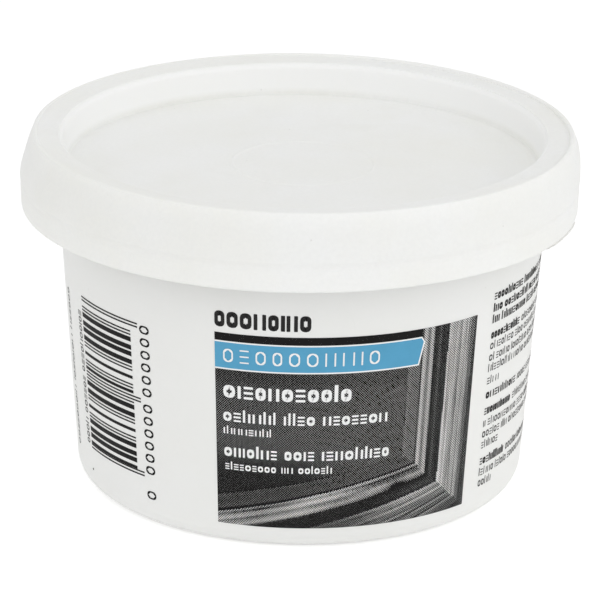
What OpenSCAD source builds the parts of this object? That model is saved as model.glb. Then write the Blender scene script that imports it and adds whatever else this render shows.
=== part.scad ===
// Round snap-lid tub of glazing putty: a tapered tub, a press-on lid with a
// sunken top, the putty inside it, a thin film on the putty, and the printed
// areas on the outside of the wall.
// The origin is on the underside, on the axis, with +Z up. The printed
// picture faces -Y. Angles called az run from -Y towards +X.

/* [Lid] */
// Outer diameter of the lid's skirt
lid_d = 96.5; // [90:0.5:102]
// Height of the closed tub, from the foot to the top of the lid
total_h = 62.25; // [58:0.25:72]
// Height of the lid's skirt
skirt_h = 12.83; // [12.4:0.01:13.2]
// Depth of the sunken middle of the lid
recess_depth = 6.17; // [5.4:0.01:6.8]
// Thickness of the lid's sunken panel
panel_t = 1.05; // [0.8:0.05:1.3]

/* [Tub] */
// Thickness of the tub's wall
tub_wall = 1.0; // [0.8:0.05:1.2]
// Outer diameter of the tub's wall, carried down to the foot
foot_d = 77.88; // [74:0.1:80]
// Radius of the rounded edge at the foot
foot_fillet = 3.6; // [2.5:0.1:4.5]
// Thickness of the tub's floor
floor_t = 1.2; // [1.0:0.1:1.6]
// Height of the recess under the floor, inside the foot ring
foot_recess = 1.2; // [0.6:0.1:1.6]

/* [Contents] */
// Gap between the putty's surface and the lid's panel
headspace = 2.7; // [1:0.1:25]
// Thickness of the loose film on the putty
film_t = 0.12; // [0.1:0.01:0.2]

/* [Print] */
// Height of the bottom edge of the picture panel
panel_z0 = 4.13; // [4:0.1:6]
// Height of the top edge of the picture panel
panel_z1 = 39.05; // [38:0.05:40]
// Half of the angle that the picture panel covers
panel_half_az = 32.75; // [28:0.25:34]
// Number of text lines in the block to the right of the picture
side_lines = 16; // [8:1:16]
// Number of narrow modules along the bar code
code_modules = 95; // [67:1:95]

/* [Hidden] */
$fn = 180;

lid_r = lid_d / 2;
top = total_h;
lip_z = top - skirt_h;              // bottom edge of the lid's skirt
rec_z = top - recess_depth;         // upper face of the sunken panel
foot_r = foot_d / 2;
wall_top_r = lid_r - 5.98;          // outer wall at the lip's height
taper = (wall_top_r - foot_r) / lip_z;
function wall_r(z) = foot_r + taper * z;
function bore_r(z) = wall_r(z) - tub_wall;
function arc(cx, cy, r, a0, a1, n = 6) =
    [for (i = [0:n]) [cx + r * cos(a0 + (a1 - a0) * i / n), cy + r * sin(a0 + (a1 - a0) * i / n)]];
rec_r = lid_r - 7.52;               // wall of the lid's sunken top, at the panel
recess_floor_z = floor_t + foot_recess;
fill_z = rec_z - panel_t - headspace; // the putty's surface
ring_in = foot_r - 7.9;             // inner edge of the foot ring
fil_slope = atan(taper);
ink_gap = 0.012;
ink_t = 0.06;

// ---- tub: tapered wall, foot ring, flared mouth and a rolled-over rim
module tub() {
    color([0.93, 0.94, 0.94])
    rotate_extrude() difference() {
        polygon(concat(
            // underside, from the middle out
            [[0, foot_recess], [ring_in - 0.9, foot_recess], [ring_in - 0.25, foot_recess * 0.6],
             [ring_in, 0]],
            // rounded foot edge
            arc(wall_r(foot_fillet) - foot_fillet / cos(fil_slope), foot_fillet, foot_fillet, -90, -fil_slope, 8),
            // outer wall up to the flared mouth
            [[wall_r(lip_z), lip_z], [wall_r(lip_z + 2.9), lip_z + 2.9],
             [lid_r - 5.25, top - 8.05], [lid_r - 4.85, top - 3.3]],
            // under the rim's flange and down the inside of its skirt
            [[lid_r - 3.6, top - 3.2], [lid_r - 2.95, top - 4.0], [lid_r - 2.6, top - 6.4],
             [lid_r - 2.5, top - 9.3]],
            // rim's lower edge, outer face and rounded brim
            arc(lid_r - 1.95, top - 9.2, 0.55, 190, 350, 5),
            [[lid_r - 1.4, top - 6.8], [lid_r - 1.68, top - 4.7], [lid_r - 2.2, top - 2.95],
             [lid_r - 2.75, top - 2.04], [lid_r - 3.4, top - 1.56],
             [lid_r - 5.25, top - 1.56]],
            arc(lid_r - 5.25, top - 2.11, 0.55, 100, 172, 4),
            // seat for the lid's plug, then the inner wall
            [[lid_r - 6.25, top - 8.05], [bore_r(lip_z + 2.9), lip_z + 2.9]],
            arc(bore_r(floor_t + 2.4) - 2.4 / cos(fil_slope), floor_t + 2.4, 2.4, -fil_slope, -90, 6),
            // inner floor, raised in the middle over the foot recess
            [[ring_in + 0.5, floor_t], [ring_in - 0.4, recess_floor_z * 0.75 + floor_t * 0.25],
             [ring_in - 1.2, recess_floor_z], [0, recess_floor_z]]
        ));
        // shallow moulded ring under the floor
        translate([14, foot_recess - 0.2]) square([0.8, 0.45]);
    }
    // gate mark under the middle of the floor
    color([0.93, 0.94, 0.94]) translate([0, 0, foot_recess - 0.45]) cylinder(h = 0.6, r = 1.6, $fn = 32);
}

// ---- lid: outer skirt with a snap bead, flat rim and a plug around the sunken panel
module lid() {
    color([0.96, 0.96, 0.94])
    rotate_extrude() difference() {
        polygon(concat(
            // sunken panel and the wall around it
            [[0, rec_z], [rec_r, rec_z]],
            arc(rec_r + 1.92, top - 1.85, 1.3, 180, 90, 7),
            // flat rim, a fine groove and the rounded outer edge that stands above it
            [[lid_r - 3.0, top - 0.55], [lid_r - 2.68, top - 0.62]],
            arc(lid_r - 2.1, top - 0.45, 0.45, 195, 25, 8),
            // outer face of the skirt, with a shallow line round it above the lower band
            [[lid_r - 0.94, top - 2.0], [lid_r - 0.42, top - 4.2], [lid_r - 0.1, top - 6.2],
             [lid_r, top - 7.15], [lid_r, top - 8.1], [lid_r - 0.14, top - 8.6],
             [lid_r - 0.14, top - 9.0], [lid_r - 0.06, top - 9.4],
             [lid_r - 0.15, lip_z + 0.5], [lid_r - 0.28, lip_z + 0.12], [lid_r - 0.5, lip_z],
             [lid_r - 0.95, lip_z], [lid_r - 1.1, lip_z + 0.25]],
            // snap bead, then the inside of the skirt
            [[lid_r - 1.28, lip_z + 1.2], [lid_r - 1.3, lip_z + 1.9], [lid_r - 1.12, lip_z + 2.7],
             [lid_r - 1.05, top - 7.15], [lid_r - 1.32, top - 4.75], [lid_r - 1.85, top - 2.7],
             [lid_r - 2.4, top - 1.82], [lid_r - 3.1, top - 1.5]],
            // under the rim and down the outside of the plug
            [[lid_r - 5.3, top - 1.5]],
            arc(lid_r - 5.3, top - 2.15, 0.65, 90, 174, 4),
            [[lid_r - 6.4, rec_z - 0.45], [lid_r - 6.62, rec_z - panel_t - 0.2],
             [lid_r - 6.9, rec_z - panel_t - 0.4], [lid_r - 7.5, rec_z - panel_t - 0.4],
             [lid_r - 7.9, rec_z - panel_t], [0, rec_z - panel_t]]
        ));
    }
    // faint raised ring on the panel, around the axis
    color([0.96, 0.96, 0.94]) rotate_extrude() translate([12.05, rec_z - 0.1]) polygon([[0, 0], [0, 0.16], [0.12, 0.24], [0.38, 0.24], [0.5, 0.16], [0.5, 0]]);
}

// ---- putty: fills the tub, with a slightly domed top
module putty() {
    g = 0.03;
    color([0.85, 0.81, 0.72])
    rotate_extrude() polygon(concat(
        [[0, recess_floor_z + g], [ring_in - 1.2, recess_floor_z + g],
         [ring_in - 0.35, recess_floor_z * 0.75 + floor_t * 0.25 + g + 0.02],
         [ring_in + 0.55, floor_t + g + 0.01]],
        arc(bore_r(floor_t + 2.4) - 2.4 / cos(fil_slope) - 0.02, floor_t + 2.4 + g, 2.4, -90, -fil_slope, 6),
        [[bore_r(fill_z - 0.7) - g, fill_z - 0.7], [bore_r(fill_z) - 0.6, fill_z - 0.25],
         [bore_r(fill_z) - 2.2, fill_z], [0, fill_z]]
    ));
}

// ---- loose film laid on the putty to keep its surface soft
module cover_film() {
    color([0.86, 0.89, 0.91]) translate([0, 0, fill_z + 0.03])
        cylinder(h = film_t, r = bore_r(fill_z) - 0.9);
}

// ---- one printed area: a curved patch that follows the tapered wall
module patch(az0, az1, z0, z1, lift = 0) {
    o = ink_gap + lift * (ink_t + ink_gap);
    rotate([0, 0, az0 - 90]) rotate_extrude(angle = az1 - az0)
        polygon([[wall_r(z0) + o, z0], [wall_r(z0) + o + ink_t, z0],
                 [wall_r(z1) + o + ink_t, z1], [wall_r(z1) + o, z1]]);
}

banner_z0 = panel_z1 - 6.55;
banner_z1 = panel_z1 - 1.42;
banner_tip = 16.3;
module print_picture_panel() {
    color([0.14, 0.13, 0.13]) {
        patch(-panel_half_az, panel_half_az, panel_z0, banner_z0 - 0.35);
        patch(banner_tip + 0.9, panel_half_az, banner_z0 - 0.35 + 0.001, banner_z1 + 0.3);
        patch(-panel_half_az, panel_half_az, banner_z1 + 0.301, panel_z1);
    }
}

module print_banner() {
    color([0.28, 0.63, 0.80]) patch(-panel_half_az, banner_tip, banner_z0, banner_z1);
}

// rows of plain blocks: [left az, right az, bottom z, top z], measured from the panel's edges
module print_panel_text() {
    L = -panel_half_az;
    color([0.95, 0.95, 0.95]) {
        patch(L + 1.95, L + 32.2, panel_z0 + 23.35, panel_z0 + 26.5, 1);
        patch(L + 1.85, L + 41.2, panel_z0 + 18.95, panel_z0 + 21.45, 1);
        patch(L + 1.85, L + 13.4, panel_z0 + 16.8, panel_z0 + 18.15, 1);
        patch(L + 1.95, L + 42.0, panel_z0 + 12.6, panel_z0 + 14.85, 1);
        patch(L + 2.15, L + 28.0, panel_z0 + 10.2, panel_z0 + 11.55, 1);
        // lettering zone of the banner
        for (i = [0:9]) patch(L + 1.85 + 3.7 * i, L + 4.7 + 3.7 * i, banner_z0 + 1.3, banner_z0 + 3.8, 1);
    }
}

module print_heading_bar() {
    color([0.14, 0.13, 0.13]) patch(-panel_half_az - 0.15, -10.2, panel_z1 + 0.9, panel_z1 + 4.2);
}

// bar code laid on its side: bars run around the tub and stack up its height;
// every third or so module is blank, by a simple repeating rule
code_z0 = 9.2;
code_pitch = 28.2 / 95;
function dark(k) = (k * 7 + floor(k / 3) * 5) % 11 < 6;
function guard(k) = k < 3 ? k != 1 : k > code_modules - 4 ? k != code_modules - 2 :
                    abs(k - floor(code_modules / 2)) == 1;
module print_barcode() {
    color([0.14, 0.13, 0.13]) {
        for (k = [0:code_modules - 1])
            if ((guard(k) || dark(k)) && !(k > 0 && (guard(k - 1) || dark(k - 1)) && guard(k) == guard(k - 1))) {
                // length of this bar, in modules
                n = [for (j = [k:code_modules - 1]) if (guard(j) != guard(k) || !(guard(j) || dark(j))) j];
                e = len(n) > 0 ? n[0] : code_modules;
                patch(-77.5, guard(k) ? -54.1 : -56.5, code_z0 + k * code_pitch + 0.005, code_z0 + e * code_pitch - 0.005);
            }
        // plain blocks where the digits would be
        for (i = [0:11]) patch(-53.3, -50.7, code_z0 + 0.7 + i * 2.28 + (i > 5 ? 0.7 : 0), code_z0 + 2.2 + i * 2.28 + (i > 5 ? 0.7 : 0));
        patch(-53.3, -50.7, code_z0 - 3.7, code_z0 - 2.0);
    }
}

// text blocks shown as plain lines: every fourth or so line ends a paragraph and is short
module text_block(az0, az1, lines, z_top, pitch) {
    for (i = [0:lines - 1])
        patch(az0, (i % 5 == 2) ? az0 + (az1 - az0) * 0.55 : az1,
              z_top - i * pitch - floor(i / 3) * 0.55 - 0.6, z_top - i * pitch - floor(i / 3) * 0.55 + 0.6);
}
module print_side_text() {
    color([0.2, 0.2, 0.2]) text_block(38.8, 96, side_lines, 41.2, 2.13);
}
module print_rear_text() {
    color([0.2, 0.2, 0.2]) {
        text_block(112, 168, side_lines, 41.2, 2.13);
        text_block(184, 240, side_lines, 41.2, 2.13);
        patch(-90.5, -87.8, 7, 37);
        patch(-80.4, -78.7, 9.7, 34.2);
    }
}

tub();
lid();
putty();
cover_film();
print_picture_panel();
print_banner();
print_panel_text();
print_heading_bar();
print_barcode();
print_side_text();
print_rear_text();
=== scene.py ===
"""Looks of the putty tub: moulded plastic tub and lid, printed wall, putty and a loose film."""
import math

import bpy
import numpy as np
from mathutils import Matrix, Vector, noise


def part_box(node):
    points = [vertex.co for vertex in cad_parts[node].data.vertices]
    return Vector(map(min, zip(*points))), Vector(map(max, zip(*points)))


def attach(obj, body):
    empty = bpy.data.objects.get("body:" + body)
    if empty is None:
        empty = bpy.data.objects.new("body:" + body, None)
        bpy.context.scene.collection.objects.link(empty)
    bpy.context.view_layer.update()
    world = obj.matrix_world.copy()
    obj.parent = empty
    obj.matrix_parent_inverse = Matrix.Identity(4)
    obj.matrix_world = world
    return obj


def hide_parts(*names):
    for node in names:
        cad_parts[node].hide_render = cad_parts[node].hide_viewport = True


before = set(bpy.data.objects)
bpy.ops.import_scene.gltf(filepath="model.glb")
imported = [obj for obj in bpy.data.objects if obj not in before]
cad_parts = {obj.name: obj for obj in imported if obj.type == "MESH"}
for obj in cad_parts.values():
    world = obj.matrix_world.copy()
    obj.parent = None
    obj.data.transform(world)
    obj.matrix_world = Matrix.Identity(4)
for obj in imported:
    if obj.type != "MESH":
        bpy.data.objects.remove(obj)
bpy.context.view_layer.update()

MM = 0.001
scene = bpy.context.scene
col = scene.collection

# ---------------------------------------------------------------- sizes, from the frame
lid_lo, lid_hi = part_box("lid")
putty_lo, putty_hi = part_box("putty")
film_lo, film_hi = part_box("cover_film")
R = round(max(lid_hi.x, lid_hi.y) / MM, 2)      # lid's outer radius, mm
TOP = round(lid_hi.z / MM, 3)                    # top of the lid
LIP = round(lid_lo.z / MM, 3)                    # lower edge of its skirt
FILL = round(putty_hi.z / MM, 3)                 # putty's surface
FOOT_R = 38.80
WALL_TOP_R = R - 6.14
TAPER = (WALL_TOP_R - FOOT_R) / LIP
REC_Z = TOP - 6.17
REC_R = R - 7.52


def wall_r(z):
    """Radius of the tub's outer wall at height z, in mm."""
    return FOOT_R + TAPER * z


# ---------------------------------------------------------------- mesh helpers
def mesh_object(name, verts, faces, smooth=True, sharp=None):
    me = bpy.data.meshes.new(name)
    me.from_pydata([tuple(v) for v in verts], [], [tuple(f) for f in faces])
    me.validate()
    me.update()
    if smooth:
        me.polygons.foreach_set("use_smooth", [True] * len(me.polygons))
        if sharp is not None:
            me.set_sharp_from_angle(angle=math.radians(sharp))
    ob = bpy.data.objects.new(name, me)
    col.objects.link(ob)
    return ob


def rounded(pts, n=5):
    """A profile of (r, z, round) points with each corner turned into a smooth bend."""
    P = [np.array(p[:2], float) for p in pts]
    rad = [p[2] if len(p) > 2 else 0.25 for p in pts]
    out = [P[0]]
    for i in range(1, len(P) - 1):
        a, b, c = P[i - 1], P[i], P[i + 1]
        la, lc = np.linalg.norm(a - b), np.linalg.norm(c - b)
        d = min(rad[i], 0.46 * la, 0.46 * lc)
        if d < 1e-4:
            out.append(b)
            continue
        s, e = b + (a - b) / la * d, b + (c - b) / lc * d
        for k in range(n + 1):
            t = k / n
            out.append((1 - t) ** 2 * s + 2 * t * (1 - t) * b + t * t * e)
    out.append(P[-1])
    keep = [out[0]]
    for p in out[1:]:
        if np.linalg.norm(p - keep[-1]) > 1e-4:
            keep.append(p)
    return keep


def dense(prof, step):
    """Adds points along a profile so that no stretch is longer than step mm."""
    out = [np.array(prof[0], float)]
    for p in prof[1:]:
        a, b = out[-1], np.array(p, float)
        k = max(1, math.ceil(np.linalg.norm(b - a) / step))
        for i in range(1, k + 1):
            out.append(a + (b - a) * i / k)
    return out


def lathe(name, prof, segs, warp=None, sharp=None):
    """Turns a profile of (r, z) mm about the axis. Points on the axis are shared. warp(x, y, z) moves them, in mm."""
    prof = [(max(0.0, float(r)), float(z)) for r, z in prof]
    verts, rows = [], []
    for r, z in prof:
        if r < 1e-6:
            rows.append([len(verts)] * segs)
            verts.append((0.0, 0.0, z))
        else:
            rows.append(list(range(len(verts), len(verts) + segs)))
            for i in range(segs):
                a = 2 * math.pi * i / segs
                verts.append((r * math.cos(a), r * math.sin(a), z))
    faces = []
    for ra, rb in zip(rows[:-1], rows[1:]):
        for i in range(segs):
            j = (i + 1) % segs
            f = []
            for v in (ra[i], rb[i], rb[j], ra[j]):
                if v not in f:
                    f.append(v)
            if len(f) > 2:
                faces.append(f)
    v = np.array(verts, float)
    if warp is not None:
        v = warp(v)
    return mesh_object(name, v * MM, faces, sharp=sharp)


def nz(x, y, z, s=1.0, seed=0.0):
    return noise.noise(Vector((x * s + seed, y * s - seed * 0.7, z * s + seed * 1.3)))


def fbm(x, y, z, s=1.0, seed=0.0, octaves=4, gain=0.5):
    t, a = 0.0, 1.0
    for k in range(octaves):
        t += a * nz(x, y, z, s * 2**k, seed + 7.1 * k)
        a *= gain
    return t


# ---------------------------------------------------------------- node helpers
class Nodes:
    def __init__(self, name):
        self.mat = bpy.data.materials.new(name)
        self.mat.use_nodes = True
        self.nt = self.mat.node_tree
        self.nt.nodes.clear()
        self.out = self.nt.nodes.new("ShaderNodeOutputMaterial")
        tc = self.nt.nodes.new("ShaderNodeTexCoord")
        self.mm = self.add("ShaderNodeVectorMath", {"operation": "SCALE"}, {0: tc.outputs["Object"], "Scale": 1000.0}).outputs[0]

    def add(self, kind, props=None, ins=None):
        n = self.nt.nodes.new(kind)
        for k, v in (props or {}).items():
            setattr(n, k, v)
        for k, v in (ins or {}).items():
            sock = n.inputs[k]
            if isinstance(v, bpy.types.NodeSocket):
                self.nt.links.new(v, sock)
            else:
                sock.default_value = v
        return n

    def math(self, op, a, b=0.0, c=None, clamp=False):
        ins = {0: a, 1: b}
        if c is not None:
            ins[2] = c
        return self.add("ShaderNodeMath", {"operation": op, "use_clamp": clamp}, ins).outputs[0]

    def vec(self, scale=(1, 1, 1), rot=(0, 0, 0), loc=(0, 0, 0)):
        return self.add("ShaderNodeMapping", {}, {"Vector": self.mm, "Scale": scale, "Rotation": rot, "Location": loc}).outputs[0]

    def noise(self, scale, detail=2.0, rough=0.5, vec=None, distort=0.0):
        return self.add(
            "ShaderNodeTexNoise", {"noise_dimensions": "3D"},
            {"Vector": vec or self.mm, "Scale": scale, "Detail": detail, "Roughness": rough, "Distortion": distort},
        ).outputs["Fac"]

    def ramp(self, fac, lo, hi, a=0.0, b=1.0):
        return self.add("ShaderNodeMapRange", {"clamp": True}, {"Value": fac, "From Min": lo, "From Max": hi, "To Min": a, "To Max": b}).outputs["Result"]

    def mix(self, fac, a, b, mode="MIX"):
        n = self.nt.nodes.new("ShaderNodeMix")
        n.data_type = "RGBA"
        n.blend_type = mode
        for sock, v in ((n.inputs[0], fac), (n.inputs[6], a), (n.inputs[7], b)):
            if isinstance(v, bpy.types.NodeSocket):
                self.nt.links.new(v, sock)
            else:
                sock.default_value = v if not isinstance(v, tuple) or len(v) == 4 else (*v, 1.0)
        return n.outputs[2]

    def bump(self, height, distance_mm, strength=1.0, normal=None):
        ins = {"Height": height, "Distance": distance_mm * MM, "Strength": strength}
        if normal is not None:
            ins["Normal"] = normal
        return self.add("ShaderNodeBump", {}, ins).outputs["Normal"]

    def surface(self, **ins):
        p = self.add("ShaderNodeBsdfPrincipled", {}, ins and {k.replace("_", " "): v for k, v in ins.items()})
        self.nt.links.new(p.outputs[0], self.out.inputs[0])
        return p


def rgb(r, g, b):
    """sRGB 0-255 to the linear colour Blender wants."""
    f = lambda c: c / 255 / 12.92 if c <= 10 else ((c / 255 + 0.055) / 1.055) ** 2.4
    return (f(r), f(g), f(b), 1.0)


# ---------------------------------------------------------------- materials
def plastic(name, base, rough, grain=0.33, grain_mm=0.012, tint=(0.97, 0.965, 0.94), marks=1.0, sss=0.12, fleck=0.08, corner=None):
    """Moulded white plastic: fine grain, faint cloudiness, dusty smudges, rubbed patches and a few hairline scratches;
    given a corner, also painted shade in the corner of a sunken top and a painted lighter wall round it.
    """
    g = Nodes(name)
    cloud = g.noise(0.045, 3.0, 0.55)
    fine = g.noise(1.5, 3.0, 0.6)
    smudge = g.ramp(g.noise(0.11, 5.0, 0.62, distort=0.8), 0.56, 0.78)
    c = g.mix(g.ramp(cloud, 0.35, 0.7), base, tuple(b * t for b, t in zip(base, tint)))
    c = g.mix(g.math("MULTIPLY", smudge, 0.10 * marks), c, tuple(b * t for b, t in zip(base, (0.84, 0.82, 0.77))))
    c = g.mix(g.ramp(fine, 0.3, 0.72, 0.0, fleck), c, tuple(b * 0.88 for b in base))
    # hairline scratches: thin iso-lines of stretched noise, kept only in patches
    lines = None
    for rot, seed in ((0.5, 3.0), (-0.9, 11.0), (1.9, 23.0)):
        n1 = g.noise(0.05, 1.0, 0.4, vec=g.vec((1.0, 7.0, 1.0), (0.2, 0.1, rot), (seed, seed * 0.4, -seed)))
        line = g.ramp(g.math("ABSOLUTE", g.math("SUBTRACT", n1, 0.5)), 0.0, 0.0016, 1.0, 0.0)
        keep = g.ramp(g.noise(0.06, 2.0, 0.5, vec=g.vec(loc=(seed * 3, -seed, seed))), 0.57, 0.64)
        line = g.math("MULTIPLY", line, keep)
        lines = line if lines is None else g.math("MAXIMUM", lines, line)
    c = g.mix(g.math("MULTIPLY", lines, 0.16 * marks), c, tuple(b * t for b, t in zip(base, (0.78, 0.77, 0.74))))
    if corner is not None:
        # painted shade: the colour is darkened in the corner of a sunken top where shade falls, fading to a quarter
        # towards one side; corner is (radius, reach, level, share)
        radius, reach, level, share = corner
        near = g.add("ShaderNodeVectorMath", {"operation": "LENGTH"}, {0: g.add("ShaderNodeVectorMath", {"operation": "MULTIPLY"}, {0: g.mm, 1: (1, 1, 0)}).outputs[0]}).outputs["Value"]
        height = g.add("ShaderNodeSeparateXYZ", {}, {0: g.mm}).outputs[2]
        low = g.ramp(height, level, level + 1.6, 1.0, 0.0)
        side = g.ramp(g.add("ShaderNodeVectorMath", {"operation": "DOT_PRODUCT"}, {0: g.mm, 1: (-0.974, 0.226, 0)}).outputs["Value"], -10.0, 30.0, 0.25, 1.0)
        painted_corner_shade = g.math("MULTIPLY", g.math("POWER", g.ramp(near, radius - reach, radius), 2.0), g.math("MULTIPLY", low, side))
        painted_corner_shade = g.math("MULTIPLY", painted_corner_shade, g.ramp(near, radius + 0.7, radius + 1.3, 1.0, 0.0))
        # mixes the painted corner shade into the colour
        c = g.mix(g.math("MULTIPLY", painted_corner_shade, share), c, tuple(b * t for b, t in zip(base, (0.5, 0.49, 0.47))))
        # painted light: the thin wall round it is painted almost white, standing in for light that comes through it
        # from behind
        wall = g.math("MULTIPLY", g.ramp(near, radius - 0.3, radius + 0.1), g.ramp(near, radius + 0.8, radius + 1.5, 1.0, 0.0))
        wall = g.math("MULTIPLY", wall, g.math("SUBTRACT", 1.0, g.ramp(height, level + 0.2, level + 1.2, 1.0, 0.0)))
        c = g.mix(wall, c, (0.992, 0.994, 0.984, 1.0))
    # tiny dust specks
    speck = g.add("ShaderNodeTexVoronoi", {"feature": "F1"}, {"Vector": g.mm, "Scale": 0.16, "Randomness": 1.0}).outputs["Distance"]
    dot = g.ramp(speck, 0.012, 0.035, 1.0, 0.0)
    c = g.mix(g.math("MULTIPLY", dot, 0.22 * marks), c, (0.35, 0.33, 0.30, 1.0))
    r = g.math("ADD", g.ramp(g.noise(0.2, 4.0, 0.6), 0.3, 0.75, rough - 0.05, rough + 0.07), g.math("MULTIPLY", lines, -0.08))
    r = g.math("ADD", r, g.math("MULTIPLY", smudge, 0.07))
    h = g.bump(g.noise(1.0 / grain, 3.0, 0.65), grain_mm, 1.0)
    h = g.bump(g.noise(0.12, 2.0, 0.5), 0.10, 0.35, h)
    h = g.bump(lines, 0.01, -0.6 * marks, h)
    g.surface(
        Base_Color=c, Roughness=r, IOR=1.48, Normal=h, Subsurface_Weight=sss,
        Subsurface_Radius=(1.0, 0.98, 0.92), Subsurface_Scale=1.6 * MM, Specular_IOR_Level=0.42,
    )
    return g.mat


def ink(name, base, rough=0.5, speckle=0.1, light=(0.35, 0.35, 0.35, 1.0), gloss=0.14):
    """Offset-printed ink on plastic: dense colour, slightly uneven, with pin-holes where the plastic shows."""
    g = Nodes(name)
    n = g.noise(0.25, 4.0, 0.6)
    c = g.mix(g.ramp(n, 0.3, 0.75, 0.0, 0.5), base, tuple(min(1.0, b * 1.22 + 0.002) for b in base[:3]) + (1.0,))
    pin = g.ramp(g.noise(6.5, 2.0, 0.5), 0.70, 0.78)
    c = g.mix(g.math("MULTIPLY", pin, speckle), c, light)
    r = g.ramp(g.noise(1.1, 3.0, 0.6), 0.3, 0.7, rough - 0.06, rough + 0.08)
    h = g.bump(g.noise(2.2, 3.0, 0.6), 0.006, 1.0)
    g.surface(Base_Color=c, Roughness=r, IOR=1.46, Normal=h, Specular_IOR_Level=gloss)
    return g.mat


def putty_material():
    g = Nodes("putty_paste")
    base, warm, pale = rgb(214, 200, 166), rgb(196, 178, 140), rgb(228, 219, 194)
    big = g.noise(0.06, 4.0, 0.6, distort=1.2)
    mid = g.noise(0.35, 5.0, 0.65, distort=0.6)
    c = g.mix(g.ramp(big, 0.35, 0.7), base, warm)
    c = g.mix(g.ramp(mid, 0.5, 0.8, 0.0, 0.6), c, pale)
    grit = g.add("ShaderNodeTexVoronoi", {"feature": "F1"}, {"Vector": g.mm, "Scale": 1.1, "Randomness": 1.0}).outputs["Distance"]
    c = g.mix(g.ramp(grit, 0.05, 0.16, 0.25, 0.0), c, rgb(150, 132, 98))
    r = g.ramp(g.noise(0.18, 4.0, 0.6, distort=0.9), 0.35, 0.7, 0.30, 0.62)
    h = g.bump(g.noise(1.6, 6.0, 0.7), 0.08, 1.0)
    h = g.bump(g.noise(6.0, 3.0, 0.6), 0.02, 1.0, h)
    g.surface(Base_Color=c, Roughness=r, IOR=1.47, Normal=h, Subsurface_Weight=0.15, Subsurface_Radius=(1.0, 0.8, 0.5), Subsurface_Scale=1.2 * MM)
    return g.mat


def film_material():
    g = Nodes("clear_film")
    n = g.noise(0.5, 4.0, 0.6)
    r = g.ramp(n, 0.3, 0.7, 0.12, 0.30)
    h = g.bump(g.noise(1.3, 3.0, 0.6, distort=0.5), 0.05, 0.6)
    haze = g.ramp(g.noise(0.12, 3.0, 0.5), 0.3, 0.75, 0.18, 0.34)
    p = g.surface(Base_Color=rgb(236, 240, 242), Roughness=r, IOR=1.5, Normal=h, Alpha=haze, Coat_Weight=0.4, Coat_Roughness=0.12)
    return g.mat


MAT = {
    # the lid's corner tuple paints shade into the corner of its sunken top and paints the wall round it lighter
    "lid": plastic("lid_polyethylene", (0.950, 0.954, 0.935, 1.0), 0.46, grain=0.55, grain_mm=0.030, sss=0.28, fleck=0.26, corner=(REC_R, 9.0, REC_Z + 0.1, 0.08)),
    "tub": plastic("tub_polypropylene", (0.904, 0.906, 0.889, 1.0), 0.36, grain=0.25, grain_mm=0.006, tint=(0.985, 0.985, 0.975), marks=0.6, sss=0.12),
    "black": ink("ink_black", rgb(20, 19, 19)),
    "blank": ink("bare_wall", rgb(240, 241, 239), 0.40, 0.0, gloss=0.35),
    "white": ink("ink_white", rgb(242, 243, 242), 0.42, 0.05, (0.62, 0.62, 0.62, 1.0), 0.3),
    "blue": ink("ink_blue", rgb(86, 160, 197), 0.42, 0.08, (0.45, 0.62, 0.72, 1.0), 0.25),
    "grey": ink("ink_text", rgb(40, 39, 39), 0.5, 0.1),
    "putty": putty_material(),
    "film": film_material(),
}


def dress(ob, body, slot, mats, *replaced):
    for m in mats:
        ob.data.materials.append(MAT[m])
    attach(ob, body)
    if replaced:
        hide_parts(*replaced)
    return ob


# ---------------------------------------------------------------- tub
FOOT_FILLET = 3.6
RING_IN = FOOT_R - 7.9
slope = math.atan(TAPER)


def bore_r(z):
    return wall_r(z) - 1.0


def arc(cx, cz, r, a0, a1, n=10):
    return [(cx + r * math.cos(math.radians(a0 + (a1 - a0) * i / n)), cz + r * math.sin(math.radians(a0 + (a1 - a0) * i / n)), 0.12) for i in range(n + 1)]


sd = math.degrees(slope)
tub_profile = (
    [(0, 0.75), (1.55, 0.75, 0.1), (1.62, 1.2, 0.1), (13.9, 1.2, 0.1), (14.05, 1.02, 0.08), (14.75, 1.02, 0.08), (14.9, 1.2, 0.1),
     (RING_IN - 0.9, 1.2, 0.3), (RING_IN - 0.25, 0.72, 0.2), (RING_IN, 0.0, 0.3)]
    + arc(wall_r(FOOT_FILLET) - FOOT_FILLET / math.cos(slope), FOOT_FILLET, FOOT_FILLET, -90, -sd, 14)
    + [(wall_r(LIP), LIP, 0.1), (wall_r(LIP + 2.9), LIP + 2.9, 0.6), (R - 5.25, TOP - 8.05, 0.6), (R - 4.85, TOP - 3.3, 0.4),
       (R - 3.6, TOP - 3.2, 0.5), (R - 2.95, TOP - 4.0, 0.6), (R - 2.6, TOP - 6.4, 0.8), (R - 2.5, TOP - 9.3, 0.15)]
    + arc(R - 1.95, TOP - 9.2, 0.55, 190, 350, 8)
    + [(R - 1.4, TOP - 6.8, 0.8), (R - 1.68, TOP - 4.7, 0.8), (R - 2.2, TOP - 2.95, 0.5), (R - 2.75, TOP - 2.04, 0.5),
       (R - 3.4, TOP - 1.56, 0.4), (R - 5.25, TOP - 1.56, 0.1)]
    + arc(R - 5.25, TOP - 2.11, 0.55, 100, 172, 7)
    + [(R - 6.25, TOP - 8.05, 0.6), (bore_r(LIP + 2.9), LIP + 2.9, 0.6)]
    + arc(bore_r(3.6) - 2.4 / math.cos(slope), 3.6, 2.4, -sd, -90, 8)
    + [(RING_IN + 0.5, 1.2, 0.3), (RING_IN - 0.4, 2.1, 0.3), (RING_IN - 1.2, 2.4, 0.4), (0, 2.4)]
)


SIDE = np.array([0.974, -0.226])     # the way the rim has been pushed, along the floor


def ease(a, b, x):
    t = np.clip((x - a) / (b - a), 0, 1)
    return t * t * (3 - 2 * t)


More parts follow.
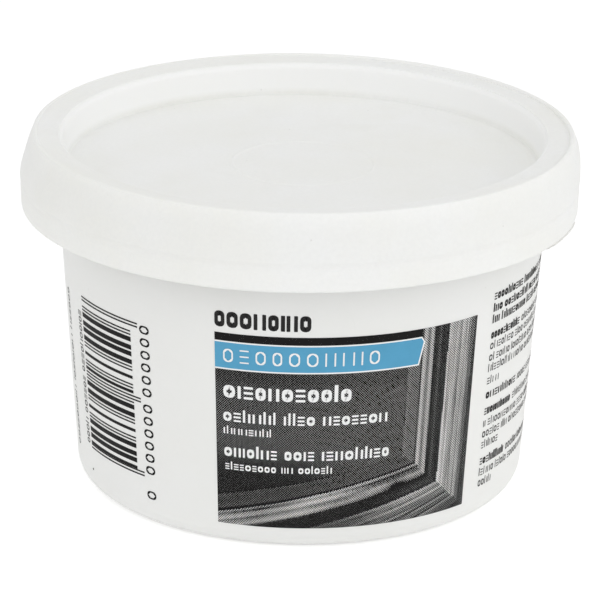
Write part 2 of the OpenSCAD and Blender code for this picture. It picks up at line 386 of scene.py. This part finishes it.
def push(v):
    """The snapped rims of tub and lid sit a little off centre together: their lower edge is pushed over by half a millimetre."""
    r = np.hypot(v[:, 0], v[:, 1])
    s = ease(43.2, 45.2, r) * ease(TOP - 2.0, TOP - 8.5, v[:, 2]) * (v[:, 2] > LIP - 0.5)
    v[:, 0] -= 0.56 * s * SIDE[0]
    v[:, 1] -= 0.56 * s * SIDE[1]
    return v


def tub_warp(v):
    """A moulded tub is never perfectly round: up to 0.08 mm out at the foot."""
    a = np.arctan2(v[:, 1], v[:, 0])
    k = 1 + 0.0009 * np.cos(2 * a + 0.6) + 0.0004 * np.cos(3 * a - 1.0)
    v[:, 0] *= k
    v[:, 1] *= k
    return push(v)


tub = lathe("tub_shell", dense(rounded(tub_profile, 3), 2.8), 288, tub_warp, sharp=50)
dress(tub, "tub", "tub_plastic", ["tub"], "tub")

# ---------------------------------------------------------------- lid
lid_profile = (
    [(0, REC_Z), (REC_R - 1.5, REC_Z, 0.5), (REC_R - 0.35, REC_Z - 0.17, 0.3), (REC_R, REC_Z - 0.06, 0.1)]
    + arc(REC_R + 1.92, TOP - 1.85, 1.3, 180, 90, 12)
    + [(R - 3.0, TOP - 0.55, 0.3), (R - 2.66, TOP - 0.63, 0.12)]
    + arc(R - 2.1, TOP - 0.45, 0.45, 195, 25, 14)
    + [(R - 0.94, TOP - 2.0, 0.9), (R - 0.42, TOP - 4.2, 0.9), (R - 0.1, TOP - 6.2, 0.8), (R, TOP - 7.15, 0.5), (R, TOP - 8.1, 0.35),
       (R - 0.14, TOP - 8.6, 0.25), (R - 0.14, TOP - 9.0, 0.2), (R - 0.06, TOP - 9.4, 0.4), (R - 0.15, LIP + 0.5, 0.2),
       (R - 0.28, LIP + 0.12, 0.2), (R - 0.5, LIP, 0.2), (R - 0.95, LIP, 0.1), (R - 1.1, LIP + 0.25, 0.2),
       (R - 1.28, LIP + 1.2, 0.3), (R - 1.3, LIP + 1.9, 0.3), (R - 1.12, LIP + 2.7, 0.4), (R - 1.05, TOP - 7.15, 0.8),
       (R - 1.32, TOP - 4.75, 0.8), (R - 1.85, TOP - 2.7, 0.5), (R - 2.4, TOP - 1.82, 0.4), (R - 3.1, TOP - 1.5, 0.3), (R - 5.3, TOP - 1.5, 0.1)]
    + arc(R - 5.3, TOP - 2.15, 0.65, 90, 174, 7)
    + [(R - 6.4, REC_Z - 0.45, 0.5), (R - 6.62, REC_Z - 1.25, 0.2), (R - 6.9, REC_Z - 1.45, 0.15), (R - 7.5, REC_Z - 1.45, 0.2),
       (R - 7.9, REC_Z - 1.05, 0.3), (0, REC_Z - 1.05)]
)


def lid_warp(v):
    """Slightly oval, with a rim that is not quite flat, a panel that dishes a little, and the faint ring round its middle."""
    r = np.hypot(v[:, 0], v[:, 1])
    a = np.arctan2(v[:, 1], v[:, 0])
    k = 1 + 0.0008 * np.cos(2 * a - 0.4) + 0.0006 * np.cos(3 * a + 0.9)
    v[:, 0] *= k
    v[:, 1] *= k
    # the bead round the rim is worn down on one side
    across = (v[:, 0] * SIDE[0] + v[:, 1] * SIDE[1]) / R
    worn = ease(0.35, -0.45, across)
    rim = (r > 42.0) * (r < 47.2) * (v[:, 2] > TOP - 0.9)
    crown = TOP - 0.62 + (0.06 + 0.42 * worn) * np.sin(np.pi * np.clip((r - 42.6) / 6.2, 0, 1))
    v[:, 2] = np.where(rim & (v[:, 2] < crown), crown, v[:, 2])
    v[:, 2] -= rim * 0.15 * (v[:, 2] - crown).clip(0, 1)
    edge = np.clip((r - 39) / 8, 0, 1)
    v[:, 2] += edge * (-0.05 * (2 * across**2 - 1) + 0.03 * np.cos(5 * a + 0.3))
    # the skirt's lower edge hangs a little lower than nominal, most on one side
    hang = 0.34 + 0.11 * ease(0.3, 0.9, across) - 0.22 * ease(0.6, 1.0, -across)
    v[:, 2] -= hang * ease(TOP - 8.0, LIP, v[:, 2]) * (r > 46)
    mid = (r < REC_R - 0.5)
    dish = np.where(mid, -0.16 * (1 - (r / REC_R) ** 2) + 0.035 * np.cos(2 * a + 0.5) * (r / REC_R) ** 2 * (1 - (r / REC_R) ** 4), 0)
    v[:, 2] += dish
    top = mid & (v[:, 2] > REC_Z - 0.75)
    ring = 0.09 * np.exp(-(((r - 12.3) / 0.24) ** 2))
    v[:, 2] += np.where(top, ring, 0)
    # moulding wrinkle in the outer skirt
    sk = np.clip((r - (R - 1.0)) / 0.8, 0, 1)
    w = 1 + sk * 0.0006 * (np.cos(7 * a + 0.2) + 0.6 * np.cos(13 * a + 2.0)) * 0.5
    v[:, 0] *= w
    v[:, 1] *= w
    return push(v)


lid_prof = rounded(lid_profile, 3)
# finer rings where the faint ring sits
lid_prof = dense(lid_prof, 1.4)
extra = [(r, REC_Z) for r in np.arange(11.4, 13.25, 0.1)]
lid_prof = [p for p in lid_prof if not (11.3 < p[0] < 13.3 and abs(p[1] - REC_Z) < 1e-6)]
i = next(k for k, p in enumerate(lid_prof) if p[0] > 13.2)
lid_prof = lid_prof[:i] + [np.array(e) for e in extra] + lid_prof[i:]
lid = lathe("lid_shell", lid_prof, 280, lid_warp, sharp=50)
dress(lid, "lid", "lid_plastic", ["lid"], "lid")


# ---------------------------------------------------------------- print: shapes laid on the tapered wall
def on_wall(az, z, lift):
    """Point on the wall at azimuth az (degrees from -Y towards +X) and height z, lifted off it."""
    a = math.radians(az - 0.4)
    r = wall_r(z) + lift
    v = np.array([[r * math.sin(a), -r * math.cos(a), z]])
    return tub_warp(v)[0] * MM


DEG = math.degrees(1 / 41.0)     # degrees of azimuth for 1 mm round the wall at mid height


class Print:
    """Collects flat printed shapes as one mesh. Each shape is a row of columns from a lower to an upper edge."""

    def __init__(self, lift):
        self.v, self.f, self.m, self.lift = [], [], [], lift

    def columns(self, cols, mat=0):
        """cols: list of (az, z_low, z_high)."""
        start = len(self.v)
        for az, z0, z1 in cols:
            self.v += [on_wall(az, z0, self.lift), on_wall(az, z1, self.lift)]
        for k in range(len(cols) - 1):
            a = start + 2 * k
            self.f.append((a, a + 2, a + 3, a + 1))
            self.m.append(mat)

    def block(self, az0, az1, z0, z1, rad=0.2, mat=0):
        """A plain block with rounded corners."""
        w = (az1 - az0) / DEG
        rad = min(rad, w / 2.01, (z1 - z0) / 2.01)
        corner = [(0.0, 0.0)]
        if rad > 1e-3:
            corner = [(rad * (1 - math.cos(math.radians(t))), rad * (1 - math.sin(math.radians(t)))) for t in (0, 30, 60, 90)]
        n = max(1, math.ceil((w - 2 * rad) / 1.0))
        mids = [(rad + (w - 2 * rad) * k / n, 0.0) for k in range(1, n)]
        ends = [(w - x, inset) for x, inset in reversed(corner)]
        self.columns([(az0 + x * DEG, z0 + i, z1 - i) for x, i in corner + mids + ends], mat)

    def ring(self, az0, az1, z0, z1, s, rad, mat=0):
        """A hollow rounded block with walls s mm thick."""
        w, h = (az1 - az0) / DEG, z1 - z0
        rad = min(rad, w / 2.01, h / 2.01)
        s = min(s, 0.45 * w, 0.45 * h)
        start, n = len(self.v), 0
        for cx, cz, a0 in ((w - rad, rad, -90), (w - rad, h - rad, 0), (rad, h - rad, 90), (rad, rad, 180)):
            for t in (0, 30, 60, 90):
                c, q = math.cos(math.radians(a0 + t)), math.sin(math.radians(a0 + t))
                for x, z in ((cx + rad * c, cz + rad * q),
                             (cx + rad * c - s * (1 if c > 0.3 else -1 if c < -0.3 else c / 0.3),
                              cz + rad * q - s * (1 if q > 0.3 else -1 if q < -0.3 else q / 0.3))):
                    self.v.append(on_wall(az0 + x * DEG, z0 + z, self.lift))
                n += 1
        for k in range(n):
            j = (k + 1) % n
            self.f.append((start + 2 * k, start + 2 * j, start + 2 * j + 1, start + 2 * k + 1))
            self.m.append(mat)

    def line(self, az0, az1, zc, H, s, seed, words=None, rise=0.3, gap=0.2, space=0.55, turned=False):
        """A line of plain signs with the rhythm of small print: rings, posts and steps, and no letters.

        H is the height of a sign and s its stroke, in mm. A turned line runs up the wall between az0 and az1,
        and zc is then its (lowest, highest) point.
        """
        rng = np.random.RandomState(seed)
        length = zc[1] - zc[0] if turned else (az1 - az0) / DEG
        items, total, left = [], 0.0, (words[0] if words else rng.randint(2, 11))
        count, word = sum(words) if words else 10 ** 6, 0
        while count > 0 and (words or total < length):
            kind = rng.choice(4, p=(0.33, 0.24, 0.24, 0.19))
            w = (0.74, 0.78, 0.62, s / H)[kind] * H * rng.uniform(0.9, 1.12)
            up = rise * H if rng.rand() < (0.0, 0.45, 0.0, 0.6)[kind] else 0.0
            items.append((kind, total, w, up))
            total += w + gap * H
            count, left = count - 1, left - 1
            if left == 0:
                total += space * H
                word += 1
                left = words[word % len(words)] if words else rng.randint(2, 11)
        last = items[-1][1] + items[-1][2]
        k = length / last if words else min(1.0, length / last)

        def put(shape, x0, x1, y0, y1, *rest):
            if turned:
                shape(az1 - y1 * DEG, az1 - y0 * DEG, zc[0] + x0, zc[0] + x1, *rest)
            else:
                shape(az0 + x0 * DEG, az0 + x1 * DEG, zc - H / 2 + y0, zc - H / 2 + y1, *rest)

        for kind, x, w, up in items:
            x, w = x * k, (w * k if kind < 3 else w)
            if kind == 0:
                put(self.ring, x, x + w, 0, H, s, 0.42 * min(w, H))
            elif kind == 1:
                put(self.block, x, x + s, 0, H + up, 0.2 * s)
                put(self.block, x + w - s, x + w, 0, H, 0.2 * s)
            elif kind == 2:
                t = min(s * 0.92, H / 5.2)
                for y in (0, (H - t) / 2, H - t):
                    put(self.block, x, x + w, y, y + t, 0.2 * s)
            else:
                put(self.block, x, x + w, 0, H + up, 0.2 * s)

    def done(self, name, slot, mats, *replaced):
        ob = mesh_object(name, self.v, self.f, smooth=True)
        ob.data.polygons.foreach_set("material_index", self.m)
        return dress(ob, "tub", slot, mats, *replaced)


PZ0, PZ1, PAZ = 4.13, 39.05, 32.75
BZ0, BZ1 = 32.50, 37.63


# ---- the picture: a plain window-frame corner, as a halftone of black ink and bare wall
def lerp(a, b, t):
    return a + (b - a) * t


CORNERS = [(12.9, 16.4), (16.5, 14.5), (19.8, 11.8), (23.3, 10.2), (29.6, 6.0)]   # where each moulding line turns
TOPS = [13.5, 16.9, 20.2, 24.1, 31.0]                                         # where it meets the top edge
FALL = [0.152, 0.166, 0.170, 0.176, 0.245]                                   # how fast it falls to the left, mm per degree


def smooth(a, b, x):
    """0 below a, 1 above b, smooth between."""
    t = min(1.0, max(0.0, (x - a) / (b - a)))
    return t * t * (3 - 2 * t)


def member(az, z):
    """Where a point lies across the frame: below 0 is glass, and each moulding adds 1. Also whether it's on the upright."""
    xs = [lerp(c[0], t, (z - c[1]) / (PZ1 - c[1])) for c, t in zip(CORNERS, TOPS)]
    zs = [c[1] - f * (c[0] - az) for c, f in zip(CORNERS, FALL)]

    def level(p, bounds):
        if p < bounds[0]:
            return (p - bounds[0]) / abs(bounds[1] - bounds[0])
        for k in range(len(bounds) - 1):
            if p < bounds[k + 1]:
                return k + (p - bounds[k]) / (bounds[k + 1] - bounds[k])
        return len(bounds) - 1 + (p - bounds[-1]) / 4.0

    side = level(az, xs)
    low = level(-z, [-q for q in zs])
    return (side, True) if side > low else (low, False)


def band(x, c, w):
    return math.exp(-(((x - c) / w) ** 2))


def tone(az, z):
    """Share of bare wall, 0 to 1, at a point of the picture."""
    lv, side = member(az, z)
    along = z if side else az * 0.72
    grain = fbm(lv * 7.0, along * 0.03, 0.0, 1.0, 3.0, 4, 0.65)
    patch = fbm(lv * 1.2, along * 0.09, 2.0, 1.0, 8.0, 3)
    if lv < 0:
        t = 0.078 + 0.026 * smooth(-22, 0, az) - 0.035 * smooth(28, 32, z) + 0.012 * fbm(az * 0.05, z * 0.07, 0, 1, 9)
        t *= 1 - 0.82 * smooth(20, 13.5, z) * smooth(6, -14, az)
        t -= 0.05 * band(lv, 0.0, 0.05)
    elif lv < 1:
        t = (0.158 if side else lerp(0.050, 0.078, smooth(-24, 6, az))) + 0.012 * grain
        t += (0.0 if side else 0.03 * (lv - 0.3)) + 0.03 * band(lv, 0.15, 0.08)
        t -= 0.15 * band(lv, 1.0, 0.10)
    elif lv < 2:
        x = lv - 1
        if side:
            t = 0.24 + 0.30 * band(x, 0.20, 0.13) + 0.24 * band(x, 0.76, 0.13) - 0.05 * band(x, 0.46, 0.09) + 0.07 * grain
            t -= 0.22 * band(x, 0.0, 0.05) + 0.26 * band(x, 1.0, 0.09)
        else:
            right = smooth(-3, 5, az)
            t = 0.235 + 0.17 * grain + 0.18 * patch + 0.07 * band(x, 0.82, 0.10) + 0.16 * band(x, 0.07, 0.05)
            t += lerp(0.20 * band(x, 0.42, 0.09) - 0.13 * band(x, 0.58, 0.06), 0.16 * band(x, 0.62, 0.14) - 0.06 * band(x, 0.25, 0.10), right)
            t -= 0.16 * band(x, 0.0, 0.04) + 0.22 * band(x, 1.0, 0.07)
            t -= 0.26 * band(az, 10.6 + 1.5 * x, 2.3) * band(x, 0.80, 0.26)
    elif lv < 3:
        x = lv - 2
        t = 0.022 + 0.06 * band(x, 0.38, 0.10) + 0.015 * grain
        if not side:
            t = 0.012 + 0.012 * grain + 0.04 * smooth(4, 18, az) * band(x, 0.6, 0.25)
    elif lv < 4:
        x = lv - 3
        rib = 0.55 * math.sin(x * 31.0 + 1.6 * patch) + 0.45 * math.sin(x * 55.0 - 1.0 + 1.5 * grain)
        t = 0.385 + 0.24 * grain + 0.18 * rib + 0.14 * band(x, 0.08, 0.07) + 0.14 * band(x, 0.70, 0.07)
        t *= lerp(1.0, 0.90, x)
        if not side:
            t = lerp(0.065 + 0.04 * rib, (0.215 + 0.18 * grain + 0.19 * rib) * lerp(1.15, 0.8, x), smooth(-8, 21, az))
        t -= 0.12 * band(x, 1.0, 0.06)
    else:
        t = (0.13 if lv < 4.25 else 0.05) + 0.03 * grain
        if not side:
            t *= 0.6
    if z > BZ1 and az < 16.6:
        t = 0.0
    return max(0.0, min(0.93, t))


CELL = 0.432     # halftone cell, mm: two dots a cell, on a lattice turned by 45 degrees


def halftone(name):
    nx = round(2 * PAZ / DEG / CELL)
    ny = round((PZ1 - PZ0) / CELL)
    dx, dz = 2 * PAZ / nx, (PZ1 - PZ0) / ny
    v, f, m = [], [], []
    cache = {}

    def vert(x, y):
        """x, y in cells."""
        key = (round(x, 4), round(y, 4))
        if key not in cache:
            cache[key] = len(v)
            v.append(on_wall(-PAZ + x * dx, PZ0 + y * dz, 0.03))
        return cache[key]

    half = {}

    def h(x, y):
        key = (x, y)
        if key not in half:
            t = tone(-PAZ + x * dx, PZ0 + y * dz)
            half[key] = min(0.47, max(0.012, 0.5 * math.sqrt(t)))
        return half[key]

    for i in range(nx):
        for j in range(ny):
            a, b, c, d, o = h(i, j), h(i + 1, j), h(i + 1, j + 1), h(i, j + 1), h(i + 0.5, j + 0.5)
            A, B, C, D = vert(i, j), vert(i + 1, j), vert(i + 1, j + 1), vert(i, j + 1)
            p = [vert(i + a, j), vert(i + 1 - b, j), vert(i + 1, j + b), vert(i + 1, j + 1 - c),
                 vert(i + 1 - c, j + 1), vert(i + d, j + 1), vert(i, j + 1 - d), vert(i, j + a)]
            q = [vert(i + 0.5, j + 0.5 - o), vert(i + 0.5 + o, j + 0.5), vert(i + 0.5, j + 0.5 + o), vert(i + 0.5 - o, j + 0.5)]
            for face in ((p[0], p[1], q[0]), (p[1], p[2], q[1], q[0]), (p[2], p[3], q[1]), (p[3], p[4], q[2], q[1]),
                         (p[4], p[5], q[2]), (p[5], p[6], q[3], q[2]), (p[6], p[7], q[3]), (p[7], p[0], q[0], q[3])):
                f.append(face)
                m.append(0)
            for face in (tuple(q), (A, p[0], p[7]), (B, p[2], p[1]), (C, p[4], p[3]), (D, p[6], p[5])):
                f.append(face)
                m.append(1)
    ob = mesh_object(name, v, f)
    ob.data.polygons.foreach_set("material_index", m)
    return dress(ob, "tub", "ink_black", ["black", "blank"], "print_picture_panel")


halftone("picture_panel")


# ---- blue banner with a thin white edge and a slanted end
def banner():
    v, f, m = [], [], []
    w = 0.26

    def right(z):
        if z > 36.7:
            return lerp(17.3, 16.4, (z - 36.7) / (BZ1 - 36.7))
        return lerp(16.0, 17.3, (z - BZ0) / (36.7 - BZ0))

    zs = [BZ0, BZ0 + w, 33.6, 34.6, 35.6, 36.7, BZ1 - w, BZ1]
    n = 52
    for z in zs:
        r = right(z)
        for k in range(n + 1):
            az = -PAZ + (r - w * DEG + PAZ) * k / n
            v.append(on_wall(az, z, 0.055))
        v.append(on_wall(r, z, 0.055))
    row = n + 2
    for j in range(len(zs) - 1):
        for k in range(n + 1):
            a = j * row + k
            f.append((a, a + 1, a + row + 1, a + row))
            m.append(1 if j in (0, len(zs) - 2) or k == n else 0)
    ob = mesh_object("banner", v, f)
    ob.data.polygons.foreach_set("material_index", m)
    return dress(ob, "tub", "ink_blue", ["blue", "white"], "print_banner")


banner()


# ---- rows of plain signs in place of lettering
t = Print(0.055)
t.line(-30.8, -0.55, 28.55, 2.3, 0.56, 5, [11], 0.34, gap=0.17)
t.line(-30.9, 8.5, 23.95, 1.66, 0.40, 7, [6, 5, 7], 0.36)
t.line(-30.9, -19.3, 21.35, 1.08, 0.24, 8, [8], 0.36)
t.line(-30.8, 9.3, 17.5, 1.66, 0.40, 12, [7, 4, 8], 0.36)
t.line(-30.6, -4.7, 14.8, 1.08, 0.24, 13, [9, 3, 6], 0.36)
t.done("panel_signs", "ink_white", ["white"], "print_panel_text")

t = Print(0.075)
t.line(-30.7, 5.9, 35.05, 2.4, 0.27, 26, [10], 0.0, gap=0.5)
t.done("banner_signs", "ink_white", ["white"])

t = Print(0.03)
t.line(-32.7, -10.3, 41.5, 2.85, 0.62, 33, [8], 0.0, gap=0.15)
t.done("heading_signs", "ink_black", ["grey"], "print_heading_bar")


# ---- bar code laid on its side, by a plain repeating rule, with blocks in place of digits
def dark(k):
    return (k * 7 + (k // 3) * 5) % 11 < 6


def guard(k):
    return k != 1 if k < 3 else k != 93 if k > 91 else abs(k - 47) == 1


t = Print(0.03)
pitch, cz0 = 28.2 / 95, 9.2
k = 0
while k < 95:
    on = guard(k) or (dark(k) and not (k < 3 or k > 91 or abs(k - 47) <= 2))
    if not on:
        k += 1
        continue
    e = k
    while e < 95 and (guard(e) or (dark(e) and not (e < 3 or e > 91 or abs(e - 47) <= 2))) and guard(e) == guard(k):
        e += 1
    t.block(-77.5, -54.1 if guard(k) else -56.5, cz0 + k * pitch, cz0 + e * pitch - 0.02, 0.02)
    k = e
for k in range(12):
    z = cz0 + 0.75 + k * 2.28 + (0.7 if k > 5 else 0.0)
    t.ring(-53.5, -50.5, z, z + 1.5, 0.29, 0.72)
t.ring(-53.5, -50.5, 5.3, 6.8, 0.29, 0.72)
t.block(-78.0, -77.4, 4.9, 5.3, 0.05)
t.done("bar_code", "ink_black", ["black"], "print_barcode")


# ---- small print: lines of signs
LINES = [41.21, 39.02, 36.95, 34.08, 32.11, 29.98, 28.00, 25.72, 23.07, 20.10, 17.83, 15.82, 13.82, 10.77, 8.68, 6.67]


def column(pr, az0, az1, seed):
    for i, zc in enumerate(LINES):
        end, start = az1, az0
        if i in (7, 12, 15):
            end = lerp(az0, az1, (0.09, 0.13, 0.10)[(7, 12, 15).index(i)])
        elif i in (2, 6, 8, 11, 14):
            end = lerp(az0, az1, 0.93)
        if i in (3, 8, 9, 13):
            start = az0 + (13.0, 14.0, 12.0, 11.0)[(3, 8, 9, 13).index(i)] * 0.82 * DEG
            pr.line(az0, start - 1.0 * DEG, zc, 1.22, 0.34, seed + 50 + i, [11], gap=0.14)
        bold = i < 3
        pr.line(start, end, zc, 1.24 if bold else 1.16, 0.34 if bold else 0.2, seed + i, gap=0.14 if bold else 0.22, space=0.4)


t = Print(0.03)
column(t, 38.6, 95.0, 100)
t.done("side_small_print", "ink_grey", ["grey"], "print_side_text")

t = Print(0.03)
column(t, 111.0, 168.0, 300)
column(t, 184.0, 241.0, 500)
t.line(-80.5, -78.6, (9.7, 34.2), 1.25, 0.2, 41, [4, 6, 10], turned=True)
t.line(-90.2, -88.2, (7.0, 36.0), 1.25, 0.2, 43, [9, 8, 6], turned=True)
t.done("rear_small_print", "ink_grey", ["grey"], "print_rear_text")


# ---------------------------------------------------------------- putty
def putty_warp(v):
    """The surface as the filling head and a knife leave it: a shallow spiral smear with soft ridges."""
    out = v.copy()
    for i, (x, y, z) in enumerate(v):
        if z < FILL - 0.9:
            continue
        r = math.hypot(x, y)
        a = math.atan2(y, x)
        edge = min(1.0, max(0.0, (40.6 - r) / 3.0))
        spiral = 0.10 * math.sin(r * 0.55 - a * 1.0 + 0.8 * nz(x, y, 0, 0.05, 4))
        lumps = 0.16 * fbm(x, y, 0, 0.06, 2, 4) + 0.05 * fbm(x, y, 0, 0.45, 5, 3)
        smear = 0.06 * abs(nz(x * 0.3 + y * 0.9, x * 0.05, 0, 0.35, 8))
        out[i, 2] = min(z + edge * (spiral + lumps - smear) - 0.12, FILL + 0.02)
    return out


g_ = 0.03
putty_profile = (
    [(0, 2.4 + g_), (RING_IN - 1.2, 2.4 + g_, 0.2), (RING_IN - 0.35, 2.1 + g_ + 0.02, 0.2), (RING_IN + 0.55, 1.2 + g_ + 0.01, 0.2)]
    + arc(bore_r(3.6) - 2.4 / math.cos(slope) - 0.02, 3.6 + g_, 2.4, -90, -sd, 8)
    + [(bore_r(FILL - 0.7) - g_, FILL - 0.7, 0.3), (bore_r(FILL) - 0.6, FILL - 0.25, 0.3), (bore_r(FILL) - 2.2, FILL, 0.6), (0, FILL)]
)
prof = rounded(putty_profile, 3)
low = dense([p for p in prof if p[1] < FILL - 0.7 - 1e-6], 6.0)
high = dense([p for p in prof if p[1] >= FILL - 0.7 - 1e-6], 0.55)
putty = lathe("putty_fill", low + high, 220, putty_warp, sharp=60)
dress(putty, "tub", "putty", ["putty"], "putty")


# ---------------------------------------------------------------- film
def film_mesh():
    """A thin loose disc with soft crinkles, 0.04 mm thick, lying over the putty."""
    rim = bore_r(FILL) - 0.95
    rings, segs = 90, 260

    def height(x, y):
        r = math.hypot(x, y)
        f = 1 - abs(fbm(x, y, 0.3, 0.07, 21, 3)) * 1.6
        g = 1 - abs(fbm(x, y, 1.7, 0.13, 33, 2)) * 2.0
        crease = max(0.0, f) ** 5 * 0.55 + max(0.0, g) ** 7 * 0.28
        lift = 0.18 * (r / rim) ** 6 * (0.5 + 0.5 * math.sin(3 * math.atan2(y, x) + 1.0))
        return FILL + 0.10 + crease + lift + 0.05 * fbm(x, y, 4.0, 0.5, 2, 2)

    v, f = [(0, 0, height(0, 0))], []
    for k in range(1, rings + 1):
        r = rim * k / rings
        for s in range(segs):
            a = 2 * math.pi * s / segs
            rr = r + (0.25 * math.sin(5 * a + 1) + 0.15 * math.sin(11 * a)) * (k / rings) ** 3
            x, y = rr * math.cos(a), rr * math.sin(a)
            v.append((x, y, height(x, y)))
    for s in range(segs):
        f.append((0, 1 + s, 1 + (s + 1) % segs))
    for k in range(rings - 1):
        for s in range(segs):
            a, b = 1 + k * segs + s, 1 + k * segs + (s + 1) % segs
            f.append((a, a + segs, b + segs, b))
    ob = mesh_object("cover_film_sheet", np.array(v) * MM, f)
    mod = ob.modifiers.new("thickness", "SOLIDIFY")
    mod.thickness = 0.04 * MM
    mod.offset = 1.0
    return ob


film = film_mesh()
dress(film, "film", "film", ["film"], "cover_film")

# ---------------------------------------------------------------- floor, light, camera
floor = mesh_object("floor", [(-3, -3, 0), (3, -3, 0), (3, 3, 0), (-3, 3, 0)], [(0, 1, 2, 3)], smooth=False)
floor.location.z = -0.00002
g = Nodes("pale_floor")
n = g.noise(0.004, 2.0)
c = g.mix(n, (0.925, 0.925, 0.925, 1.0), (0.935, 0.935, 0.935, 1.0))
# the floor glows a little, most near the tub: a painted glow standing in for light bounced off lit paper under a soft
# box; it is also lifted to paper white where the camera sees it
seen = g.add("ShaderNodeLightPath").outputs["Is Camera Ray"]
reach = g.add("ShaderNodeVectorMath", {"operation": "LENGTH"}, {0: g.mm}).outputs["Value"]
glow = g.ramp(reach, 45.0, 130.0, 0.145, 0.065)
# it hides nothing from a camera below it
below = g.math("MULTIPLY", g.add("ShaderNodeNewGeometry").outputs["Backfacing"], seen)
g.surface(
    Base_Color=c, Roughness=0.9, Specular_IOR_Level=0.1, Emission_Color=(1.0, 1.0, 1.0, 1.0),
    Emission_Strength=g.math("MULTIPLY_ADD", seen, 0.22, glow), Alpha=g.math("SUBTRACT", 1.0, below),
)
floor.data.materials.append(g.mat)

world = bpy.data.worlds.new("studio")
scene.world = world
world.use_nodes = True
world.node_tree.nodes["Background"].inputs[0].default_value = (1.0, 1.0, 1.0, 1.0)
world.node_tree.nodes["Background"].inputs[1].default_value = 0.712


def area(name, loc, aim, size, power, colour=(1, 1, 1)):
    lamp = bpy.data.lights.new(name, "AREA")
    lamp.shape = "RECTANGLE"
    lamp.size, lamp.size_y = size
    lamp.energy = power
    lamp.color = colour
    ob = bpy.data.objects.new(name, lamp)
    ob.location = loc
    ob.rotation_euler = (Vector(aim) - Vector(loc)).to_track_quat("-Z", "Y").to_euler()
    col.objects.link(ob)
    return ob


area("key_front_right", (0.42, -0.85, 0.42), (0, 0, 0.03), (0.6, 0.5), 0.98, (1.0, 0.995, 0.975))
area("high_left", (-0.85, -0.1, 0.5), (0, 0, 0.03), (0.6, 0.4), 0.63, (0.99, 0.997, 1.0))
area("high_right", (0.85, -0.1, 0.5), (0, 0, 0.03), (0.6, 0.4), 0.62)
area("top_front", (0.0, -0.6, 0.8), (0, 0, 0.03), (0.8, 0.5), 0.82, (0.985, 0.995, 1.0))
area("overhead", (0.0, 0.0, 1.0), (0, 0.001, 0.03), (0.6, 0.6), 0.36, (0.985, 0.995, 1.0))

# the camera stands 13 degrees to the left of the picture panel's middle, about 20 degrees up, far off with a long lens
e, D, roll = 0.3453, 14.0 * R * MM, 0.0144
fwd = Vector((0, math.cos(e), -math.sin(e)))
right = Vector((1, 0, 0))
up = Vector((0, math.sin(e), math.cos(e)))
right2 = right * math.cos(roll) + up * math.sin(roll)
up2 = -right * math.sin(roll) + up * math.cos(roll)
target = Vector((-0.21 * MM, 0, 30.76 * MM))
m = Matrix((
    (right2.x, up2.x, -fwd.x, 0), (right2.y, up2.y, -fwd.y, 0), (right2.z, up2.z, -fwd.z, 0), (0, 0, 0, 1)))
m = Matrix.Translation(target - fwd * D) @ m
cam_data = bpy.data.cameras.new("camera")
cam_data.sensor_width = 36.0
cam_data.lens = 3864.06 / 600 * 36.0
cam_data.clip_start, cam_data.clip_end = 0.05, 20.0
cam = bpy.data.objects.new("camera", cam_data)
cam.matrix_world = Matrix.Rotation(math.radians(-13.05), 4, "Z") @ m
col.objects.link(cam)
scene.camera = cam

scene.view_settings.view_transform = "Standard"
scene.view_settings.look = "None"
scene.view_settings.exposure = 0.0
scene.view_settings.gamma = 1.0
